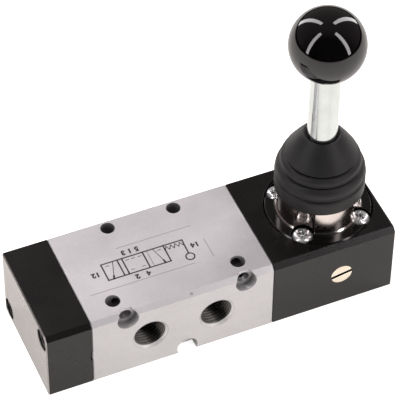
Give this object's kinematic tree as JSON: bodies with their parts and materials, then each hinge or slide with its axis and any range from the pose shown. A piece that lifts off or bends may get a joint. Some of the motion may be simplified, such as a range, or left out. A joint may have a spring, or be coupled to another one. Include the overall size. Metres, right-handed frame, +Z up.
{
  "type": "hand lever air valve",
  "caption": "Spool valve block with threaded ports on two long sides, black end blocks, and a spring-centred lever with ball knob and rubber boot standing on one end.",
  "frame": {"origin": "centre of the valve body's underside", "axes": "+X along the spool from the end cap towards the lever, +Z up along the lever, -Y out of the two working ports"},
  "size_m": [0.0985, 0.032, 0.0902],
  "materials": {
    "body_aluminium": "satin anodised",
    "black_anodised": "satin black",
    "black_gloss": "gloss black",
    "rubber": "matte black",
    "seal_rubber": "matte",
    "zinc_steel": "bright zinc plated",
    "black_steel": "black oxide",
    "yellow_zinc": "yellow zinc plated",
    "brass": "turned",
    "spring_steel": "drawn",
    "acetal": "moulded",
    "spool_metal": "hard anodised, polished"
  },
  "bodies": {
    "valve": {"ball_seat": "acetal", "boot": "rubber", "boot_flange": "black_gloss", "cap_screw_1": "black_steel", "cap_screw_2": "black_steel", "cap_spring": "spring_steel", "end_cap": "black_anodised", "end_ring_left": "acetal", "end_ring_right": "acetal", "flange_gasket": "seal_rubber", "flange_screw_1": "zinc_steel", "flange_screw_2": "zinc_steel", "flange_screw_3": "zinc_steel", "flange_screw_4": "zinc_steel", "guide_screw": "yellow_zinc", "housing_screw_1": "black_steel", "housing_screw_2": "black_steel", "housing_spring": "spring_steel", "lever_housing": "black_anodised", "spacer_port_1": "acetal", "spacer_port_2": "acetal", "spacer_port_3": "acetal", "spacer_port_4": "acetal", "spacer_port_5": "acetal", "spool_seals": "seal_rubber", "valve_body": "body_aluminium"},
    "lever": {"lever_rod": "zinc_steel", "pivot_ball": "zinc_steel", "lever_tip": "zinc_steel", "knob": "black_gloss", "knob_insert": "brass"},
    "spool_train": {"spool": "spool_metal", "spool_coupling": "zinc_steel"}
  },
  "joints": [
    {"name": "lever_swing", "type": "hinge", "parent": "valve", "child": "lever", "pos_m": [0.04525, 0, 0.0255], "axis": [0, 1, 0], "range_deg": [-11.9, 11.9], "stiffness_Nm_per_rad": 2, "deforming": ["boot"]},
    {"name": "spool_slide", "type": "slide", "parent": "valve", "child": "spool_train", "axis": [1, 0, 0], "range_m": [-0.003, 0.003], "deforming": ["cap_spring", "housing_spring"]}
  ],
  "couplings": [
    {"joint": "spool_slide", "follows": "lever_swing", "m_per_rad": -0.014396}
  ]
}
